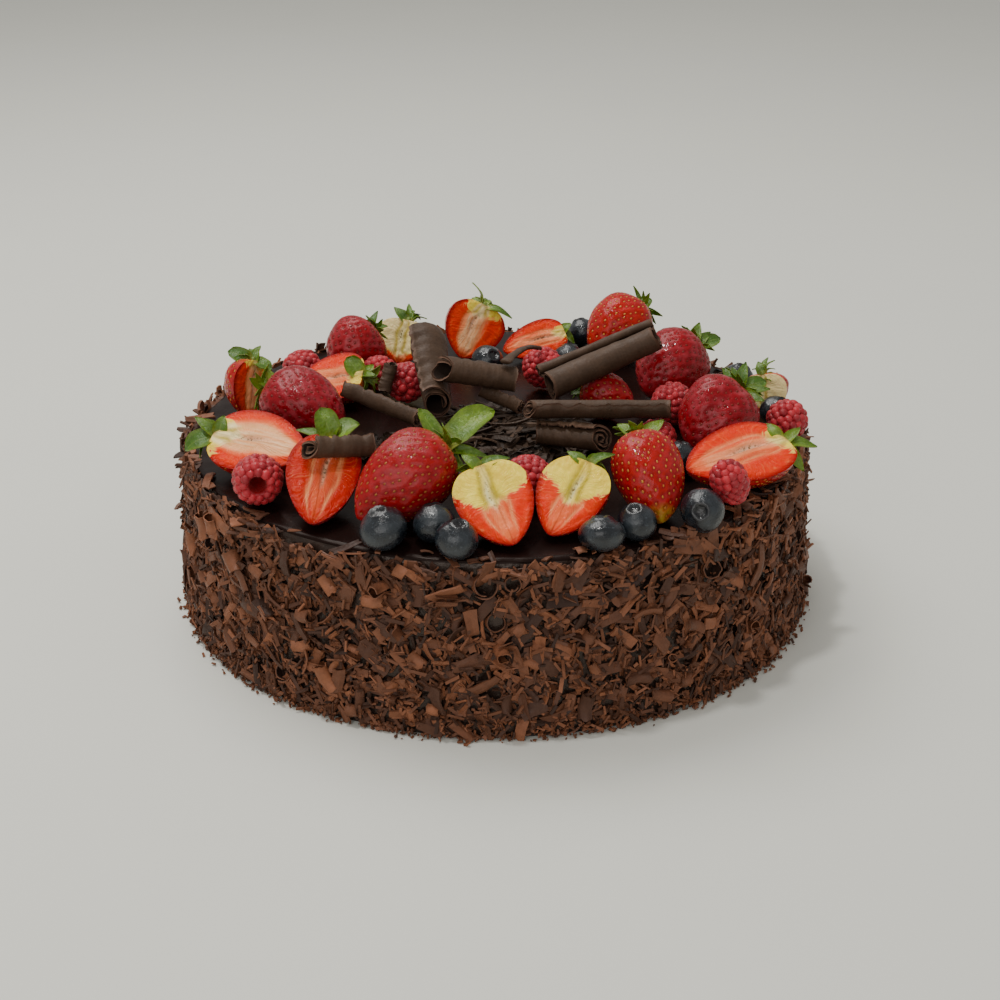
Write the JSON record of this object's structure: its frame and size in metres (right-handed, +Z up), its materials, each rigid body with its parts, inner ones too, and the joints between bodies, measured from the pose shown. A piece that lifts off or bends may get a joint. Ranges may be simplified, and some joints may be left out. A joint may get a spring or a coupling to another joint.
{
  "type": "black forest cake",
  "caption": "Black forest cake: a round chocolate cake with flakes on its side, a ring of strawberries, raspberries and blueberries on top, and rolled chocolate curls inside the ring.",
  "frame": {"origin": "middle of the cake's flat underside, on the axis of the cake", "axes": "+Z up through the toppings, -Y towards the front of the cake as it is served, +X to the right seen from the front"},
  "size_m": [0.2401, 0.2404, 0.1026],
  "materials": {
    "cake": "matt flakes of milk chocolate over dark, glossy ganache",
    "strawberry": "glossy, glazed skin and wet cut flesh",
    "raspberry": "soft sheen",
    "blueberry": "dark skin with a thin glaze",
    "chocolate": "matt dark chocolate"
  },
  "bodies": {
    "root": {"bark_crumpled": "chocolate", "bark_left": "chocolate", "blueberry_back_1": "blueberry", "blueberry_back_2": "blueberry", "blueberry_back_inner": "blueberry", "blueberry_behind_1": "blueberry", "blueberry_behind_2": "blueberry", "blueberry_behind_3": "blueberry", "blueberry_behind_4": "blueberry", "blueberry_far_right": "blueberry", "blueberry_front_1": "blueberry", "blueberry_front_2": "blueberry", "blueberry_front_3": "blueberry", "blueberry_front_4": "blueberry", "blueberry_front_5": "blueberry", "blueberry_right": "blueberry", "blueberry_right_inner": "blueberry", "cake": "cake", "curl_double_long": "chocolate", "curl_front_left": "chocolate", "curl_leaning_wide": "chocolate", "curl_left_long": "chocolate", "curl_long_right": "chocolate", "curl_lower_spiral": "chocolate", "curl_open_end": "chocolate", "curl_splinter": "chocolate", "curl_under": "chocolate", "curl_upright_short": "chocolate", "raspberry_back_middle": "raspberry", "raspberry_far_right": "raspberry", "raspberry_front_middle": "raspberry", "raspberry_inner_back": "raspberry", "raspberry_inner_left": "raspberry", "raspberry_left": "raspberry", "raspberry_left_rim": "raspberry", "raspberry_right_front": "raspberry", "raspberry_right_inner": "raspberry", "raspberry_right_middle": "raspberry", "shavings_heap": "chocolate", "strawberry_half_back_left": "strawberry", "strawberry_half_back_middle": "strawberry", "strawberry_half_far_left": "strawberry", "strawberry_half_front_left": "strawberry", "strawberry_half_front_middle": "strawberry", "strawberry_half_front_right": "strawberry", "strawberry_half_left": "strawberry", "strawberry_half_left_back": "strawberry", "strawberry_half_pale_left": "strawberry", "strawberry_half_pale_right": "strawberry", "strawberry_half_right": "strawberry", "strawberry_whole_back": "strawberry", "strawberry_whole_back_left": "strawberry", "strawberry_whole_back_right": "strawberry", "strawberry_whole_front": "strawberry", "strawberry_whole_inner": "strawberry", "strawberry_whole_left": "strawberry", "strawberry_whole_right": "strawberry", "strawberry_whole_right_back": "strawberry"}
  },
  "joints": []
}
